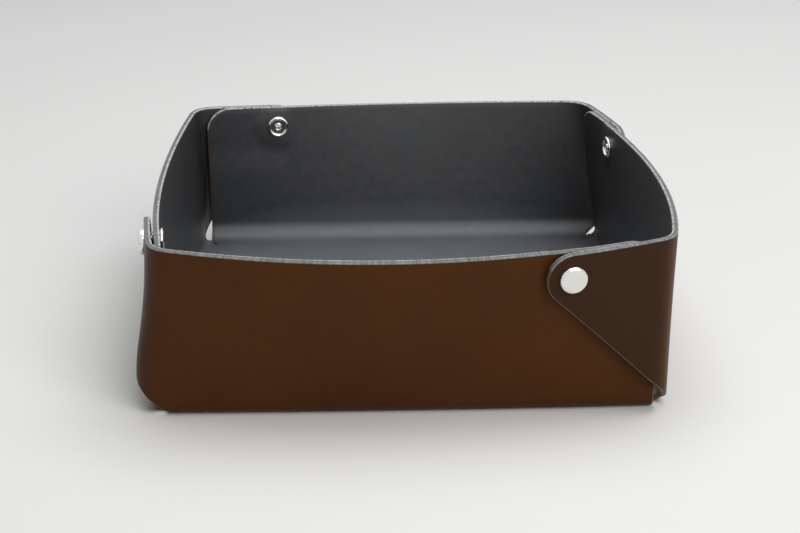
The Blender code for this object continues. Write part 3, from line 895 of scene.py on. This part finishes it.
def painted_edge(finishes):
    """Cut edge: grey paint on the rims with speckled painted highlights along them, plain brown paint on
    the slanted edges.
    """
    made = Shader("painted_edge")
    blank = made.attribute("blank").outputs["Vector"]
    across = made.attribute("across").outputs["Fac"]
    rim = made.attribute("rim").outputs["Fac"]
    fibres = made.noise(blank, 0.0012, 3, 0.7)
    patches = made.noise(blank, 0.006, 3, 0.6)
    base = finishes.edge_color
    color = made.color(made.spread(patches, 0.35, 0.65), shade(base, 0.75), shade(base, 1.25))
    # Painted highlight: a bright speckled line where the rounded edge turns to the lining
    inner = made.math("MULTIPLY", made.spread(across, 0.60, 0.80), made.spread(fibres, 0.38, 0.54))
    color = made.color(made.math("MULTIPLY", inner, 0.95), color, finishes.edge_highlight)
    # Painted highlight: a fainter speckled line where the rounded edge turns to the face
    outer = made.math("MULTIPLY", made.spread(across, 0.28, 0.12), made.spread(fibres, 0.40, 0.60))
    color = made.color(made.math("MULTIPLY", outer, 0.35), color, finishes.edge_highlight)
    side = made.color(made.spread(fibres, 0.4, 0.6), shade(finishes.side_color, 0.7), finishes.side_color)
    color = made.color(rim, side, color)
    normal = made.bump(fibres, 0.00010, 0.6)
    made.set(Base_Color=color, Roughness=0.45, Normal=normal, Specular_IOR_Level=0.25)
    return made.material


def nickel(finishes):
    """Polished nickel plate with faint hairlines and smears."""
    made = Shader("nickel")
    place = made.nodes.new("ShaderNodeTexCoord").outputs["Object"]
    smears = made.noise(place, 0.0035, 4, 0.6)
    low, high = finishes.metal_roughness * 0.7, finishes.metal_roughness * 1.5
    color = made.color(smears, shade(finishes.metal_color, 0.94), finishes.metal_color[:3])
    rough = made.spread(smears, 0.35, 0.7, low, high)
    made.set(Base_Color=color, Metallic=1.0, Roughness=rough)
    return made.material


# Turned pieces of the snaps: profiles of radius and height off the wall's outer face

TUBE_WALL = 0.0005
TUBE_PLAY = 0.0001
POCKET_PLAY = 0.00005
POCKET_DEPTH = 0.0010
# Rises of the cap's crown over its rim, at shares of its flat radius
CAP_CROWN = ((0, 0.00012), (0.5, 0.00010), (0.85, 0.00005))
CAP_HEM = 0.00025
SOCKET_MOUTH = 0.0032
SOCKET_PLATE = 0.0003
SOCKET_ROLL = 0.0004
STUD_FLANGE = 0.0006
STUD_NECK = 0.0026
STUD_BULB = 0.00045
STUD_ROUNDING = 0.0002
POST_HEM = 0.0002
POST_UNDERCUT = 0.0006
DISH_DEPTH = 0.0010
DISH_SLOPE = 0.0003
TUBE_ROLL = 0.0004
# The post's tube: how much narrower its bore is, where the bore starts, and how high it stands
BORE_INSET = 0.0008
BORE_START = 0.0010
TUBE_TOP = 0.0010

def arc(radius_at, height_at, size, start, end, count):
    turns = [math.radians(mix(start, end, i / count)) for i in range(count + 1)]
    return [(radius_at + size * math.cos(turn), height_at + size * math.sin(turn)) for turn in turns]


def turned_mesh(name, profile, sides, matrix):
    """Mesh of a closed profile turned about its axis. It starts on the axis or is a ring."""
    turns = [i / sides * 2 * math.pi for i in range(sides)]
    points, rings, polygons = [], [], []
    for radius, height in profile:
        if radius < SAME_PLACE:
            rings.append([len(points)] * sides)
            points.append(matrix @ Vector((0, 0, height)))
            continue
        rings.append(list(range(len(points), len(points) + sides)))
        points += [
            matrix @ Vector((radius * math.cos(turn), radius * math.sin(turn), height))
            for turn in turns]
    if profile[0][0] > SAME_PLACE:
        rings.append(rings[0])
    for low, high in zip(rings, rings[1:]):
        for a, b, c, d in zip(low, low[1:] + low[:1], high[1:] + high[:1], high):
            corners = tuple(dict.fromkeys((a, b, c, d)))
            if len(corners) > 2:
                polygons.append(corners)
    mesh = bpy.data.meshes.new(name)
    mesh.from_pydata(points, [], polygons)
    bm = bmesh.new()
    bm.from_mesh(mesh)
    bmesh.ops.recalc_face_normals(bm, faces=bm.faces)
    bm.to_mesh(mesh)
    bm.free()
    mesh.shade_smooth()
    mesh.set_sharp_from_angle(angle=math.radians(SHARP_ANGLE))
    return mesh


def cap_profile(sizes, snaps):
    """Cap with a nearly flat face and a broad rounded rim, and its barrel through the flap."""
    seat = sizes.standoff + sizes.leather - PRESS_DEPTH
    top = seat + snaps.cap_height
    bevel = snaps.cap_bevel
    flat = snaps.cap_radius - bevel
    crown = [(flat * share, top + rise) for share, rise in CAP_CROWN]
    rounded = arc(flat, top - bevel, bevel, 80, 0, 9)
    hem = arc(snaps.cap_radius - CAP_HEM, seat + 0.0001, CAP_HEM, 0, -90, 4)
    barrel = snaps.barrel_radius
    low = sizes.standoff * 0.5
    return crown + rounded + hem + [
        (barrel, seat - 0.00015), (barrel, low), (barrel - TUBE_WALL, low),
        (barrel - TUBE_WALL, seat), (0, seat)]


def socket_profile(sizes, snaps):
    """Spring socket in the lining: a rolled rim round the opening that takes the stud."""
    top = sizes.standoff + POCKET_DEPTH
    low, under = sizes.standoff - SOCKET_PLATE, top - SOCKET_PLATE
    outer = snaps.socket_radius
    hole = snaps.barrel_radius + TUBE_PLAY
    roll = arc(outer - SOCKET_ROLL, low + SOCKET_ROLL, SOCKET_ROLL, 0, -90, 4)
    mouth = arc(SOCKET_MOUTH + SOCKET_PLATE, low + SOCKET_PLATE, SOCKET_PLATE, -90, -180, 4)
    return [(hole, top), (outer, top)] + roll + mouth + [(SOCKET_MOUTH, under), (hole, under)]


def stud_profile(snaps):
    """Stud on the wall: a flange and a bulbous head that the socket grips."""
    outer = snaps.stud_radius
    bulb = arc(0.0023, STUD_FLANGE + STUD_BULB, STUD_BULB, -60, 80, 7)
    rim = arc(outer - STUD_ROUNDING, STUD_FLANGE - STUD_ROUNDING, STUD_ROUNDING, 0, 90, 3)
    return [(snaps.barrel_radius, 0.0), (outer, 0.0)] + rim + [(STUD_NECK, STUD_FLANGE)] + bulb + [
        (snaps.barrel_radius, STUD_FLANGE + 2 * STUD_BULB)]


def post_profile(sizes, snaps):
    """Head inside the tray: a domed ring round a dish, with the rolled end of its tube in it."""
    seat = -sizes.leather + PRESS_DEPTH
    crown = -sizes.leather - snaps.post_height
    outer, dish, tube = snaps.post_radius, snaps.dish_radius, snaps.barrel_radius
    ring = (outer - dish) / 2
    middle = outer - ring
    hem = [(outer - POST_HEM, seat - POST_HEM)]
    dome = arc(middle, crown + ring, ring, 0, -180, 12)
    deep = crown + DISH_DEPTH
    hollow = [(dish - DISH_SLOPE, deep - 0.0001), (tube + DISH_SLOPE, deep)]
    roll = arc(tube - DISH_SLOPE, deep - DISH_SLOPE, TUBE_ROLL, -20, -200, 8)
    bore = tube - BORE_INSET
    return [(tube, seat + POST_HEM), (outer - POST_UNDERCUT, seat)] + hem + dome + hollow + roll + [
        (bore, deep + BORE_START), (bore, TUBE_TOP), (tube, TUBE_TOP)]


# Operators

class VALETTRAY_OT_floor(Operator):
    """Lay the flat floor of the tray"""

    bl_idname = "valettray.floor"
    bl_label = "Floor"

    def execute(self, context):
        settings = context.scene.valet_tray
        sizes = settings.tray
        walls = make_walls(sizes)
        sheet = LeatherMesh(partial(floor_place, sizes), lambda a, b: Vector((a, -b, 0)), sizes)
        half_width, half_depth = sizes.width / 2, sizes.depth / 2
        columns = steps(-half_width, half_width, FLOOR_STEP)
        rows = steps(-half_depth, half_depth, FLOOR_STEP)
        sheet.fill(floor_outline(walls), sizes.edge_rounding, [], columns, rows)
        floor = add_piece("tray_floor", sheet.build("tray_floor"), leather_materials(settings.finishes))
        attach(floor, "root")
        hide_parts("tray_leather", "tray_lining")
        return {"FINISHED"}


class VALETTRAY_OT_walls(Operator):
    """Fold up the four walls, each with its corner bend and flap"""

    bl_idname = "valettray.walls"
    bl_label = "Walls and flaps"

    def execute(self, context):
        settings = context.scene.valet_tray
        sizes, snaps = settings.tray, settings.snaps
        materials = leather_materials(settings.finishes)
        for wall in make_walls(sizes):
            corner = CORNERS[wall.index - 1]
            name = "wall_" + WALL_NAMES[wall.index]
            tube, pocket = snaps.barrel_radius + TUBE_PLAY, snaps.socket_radius + POCKET_PLAY
            step = -sizes.leather + POCKET_DEPTH
            holes = [
                (wall.wall_hole(), tube, []),
                (wall.flap_hole(), pocket, [(tube, 0), (tube, step), (pocket, step)]),
            ]
            sheet = LeatherMesh(wall.place, wall.blank, sizes, wall.start - FLAP_FADE / 3)
            sheet.fill(wall_outline(wall), sizes.edge_rounding, holes, *wall_grid(wall))
            piece = add_piece(name, sheet.build(name), materials)
            start = wall.bend_point(0, sizes.edge_start, 0)
            end = wall.bend_point(1, sizes.rim_height / 2, 0)
            start.z = end.z
            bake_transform(piece)
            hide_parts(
                "tray_leather", "tray_lining",
                "flap_leather_" + corner, "flap_lining_" + corner)
        return {"FINISHED"}


class VALETTRAY_OT_snaps(Operator):
    """Press a snap into each corner"""

    bl_idname = "valettray.snaps"
    bl_label = "Press snaps"

    def execute(self, context):
        settings = context.scene.valet_tray
        sizes, snaps = settings.tray, settings.snaps
        material = nickel(settings.finishes)
        for wall in make_walls(sizes):
            corner = CORNERS[wall.index]
            pieces = (
                ("snap_cap_", cap_profile(sizes, snaps), "flap_" + corner),
                ("snap_socket_", socket_profile(sizes, snaps), "flap_" + corner),
                ("snap_stud_", stud_profile(snaps), "root"),
                ("snap_post_", post_profile(sizes, snaps), "root"),
            )
            for kind, profile, body in pieces:
                name = kind + corner
                turned, sides = "turned_" + name, settings.turned_sides
                mesh = turned_mesh(turned, profile, sides, snap_frame(wall))
                piece = add_piece(turned, mesh, [material])
                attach(piece, body)
                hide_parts(name)
        return {"FINISHED"}


# Name, place, size and colour of each lamp, and where both point
SKY_LAMP = ("sky", (0.25, 0.30, 1.90), 2.0, (0.95, 0.98, 1.0))
ROOM_LAMP = ("room", (0.75, -1.25, 1.15), 1.4, (1.0, 0.98, 0.96))
LAMP_TARGET = Vector((0, 0, 0.03))
FLOOR_REACH = 4.0
FLOOR_DROP = 0.0002
SENSOR_WIDTH = 36


class VALETTRAY_OT_stage(Operator):
    """Set out the floor, the soft lamps and the camera"""

    bl_idname = "valettray.stage"
    bl_label = "Studio"

    def execute(self, context):
        look = context.scene.valet_tray.stage
        context.scene.view_settings.view_transform = "Standard"
        self.add_floor(look)
        self.add_world(context.scene, look)
        self.add_lamp(*SKY_LAMP, look.sky_power)
        self.add_lamp(*ROOM_LAMP, look.room_power)
        self.add_camera(context.scene, look)
        return {"FINISHED"}

    def add_floor(self, look):
        mesh = bpy.data.meshes.new("studio_floor")
        signs = ((-1, -1), (1, -1), (1, 1), (-1, 1))
        corners = [(x * FLOOR_REACH, y * FLOOR_REACH, 0) for x, y in signs]
        mesh.from_pydata(corners, [], [(0, 1, 2, 3)])
        made = Shader("pale_floor")
        place = made.nodes.new("ShaderNodeTexCoord").outputs["Object"]
        clouds = made.noise(place, 0.30, 3)
        made.set(
            Base_Color=made.color(clouds, shade(look.floor_color, 0.98), shade(look.floor_color, 1.02)),
            Roughness=0.85,
            Specular_IOR_Level=0.2)
        floor = add_piece("studio_floor", mesh, [made.material])
        floor.location.z = -FLOOR_DROP

    def add_world(self, scene, look):
        world = bpy.data.worlds.new("studio_light")
        scene.world = world
        world.use_nodes = True
        nodes, links = world.node_tree.nodes, world.node_tree.links
        light, seen = nodes["Background"], nodes.new("ShaderNodeBackground")
        light.inputs["Color"].default_value = (1, 1, 1, 1)
        light.inputs["Strength"].default_value = look.world_strength
        seen.inputs["Color"].default_value = (*look.seen_color, 1)
        seen.inputs["Strength"].default_value = 1.0
        path, choice = nodes.new("ShaderNodeLightPath"), nodes.new("ShaderNodeMixShader")
        share = path.outputs["Is Camera Ray"]
        for kind in ("Is Glossy Ray", "Is Transmission Ray"):
            either = nodes.new("ShaderNodeMath")
            either.operation = "MAXIMUM"
            links.new(share, either.inputs[0])
            links.new(path.outputs[kind], either.inputs[1])
            share = either.outputs[0]
        links.new(share, choice.inputs["Fac"])
        links.new(light.outputs[0], choice.inputs[1])
        links.new(seen.outputs[0], choice.inputs[2])
        links.new(choice.outputs[0], nodes["World Output"].inputs["Surface"])

    def add_lamp(self, name, place, size, color, power):
        lamp = bpy.data.lights.new(name, "AREA")
        lamp.size = size
        lamp.energy = power
        lamp.color = color
        made = bpy.data.objects.new(name, lamp)
        bpy.context.scene.collection.objects.link(made)
        made.location = place
        aim = LAMP_TARGET - Vector(place)
        made.rotation_euler = aim.to_track_quat("-Z", "Y").to_euler()

    def add_camera(self, scene, look):
        camera = bpy.data.cameras.new("camera")
        camera.lens = look.lens
        camera.sensor_width = SENSOR_WIDTH
        away = Vector((
            math.sin(look.azimuth) * math.cos(look.elevation),
            -math.cos(look.azimuth) * math.cos(look.elevation), math.sin(look.elevation)))
        right = (-away).cross(Vector((0, 0, 1))).normalized()
        up = away.cross(right)
        cosine, sine = math.cos(look.roll), math.sin(look.roll)
        axes = (right * cosine + up * sine, up * cosine - right * sine, away)
        made = bpy.data.objects.new("camera", camera)
        scene.collection.objects.link(made)
        matrix = Matrix(axes).transposed().to_4x4()
        matrix.translation = Vector(look.target) + away * look.distance
        made.matrix_world = matrix
        scene.camera = made


class VALETTRAY_PT_sidebar(Panel):
    """Settings and builders of the tray"""

    bl_idname = "VALETTRAY_PT_sidebar"
    bl_label = "Valet Tray"
    bl_space_type = "VIEW_3D"
    bl_region_type = "UI"
    bl_category = "Valet Tray"

    def draw(self, context):
        settings = context.scene.valet_tray
        for group in (settings.tray, settings.snaps, settings.finishes, settings.stage):
            box = self.layout.box()
            for name in group.__annotations__:
                box.prop(group, name)
        self.layout.prop(settings, "turned_sides")
        for operator in OPERATORS:
            self.layout.operator(operator.bl_idname)


OPERATORS = (VALETTRAY_OT_floor, VALETTRAY_OT_walls, VALETTRAY_OT_snaps, VALETTRAY_OT_stage)
CLASSES = (TraySizes, SnapSizes, Finishes, StageLook, ValetTray) + OPERATORS + (VALETTRAY_PT_sidebar,)


def register():
    for made in CLASSES:
        bpy.utils.register_class(made)
    bpy.types.Scene.valet_tray = PointerProperty(type=ValetTray)


def unregister():
    del bpy.types.Scene.valet_tray
    for made in reversed(CLASSES):
        bpy.utils.unregister_class(made)


def main():
    register()
    bpy.ops.valettray.floor()
    bpy.ops.valettray.walls()
    bpy.ops.valettray.snaps()
    bpy.ops.valettray.stage()


if __name__ == "__main__":
    main()
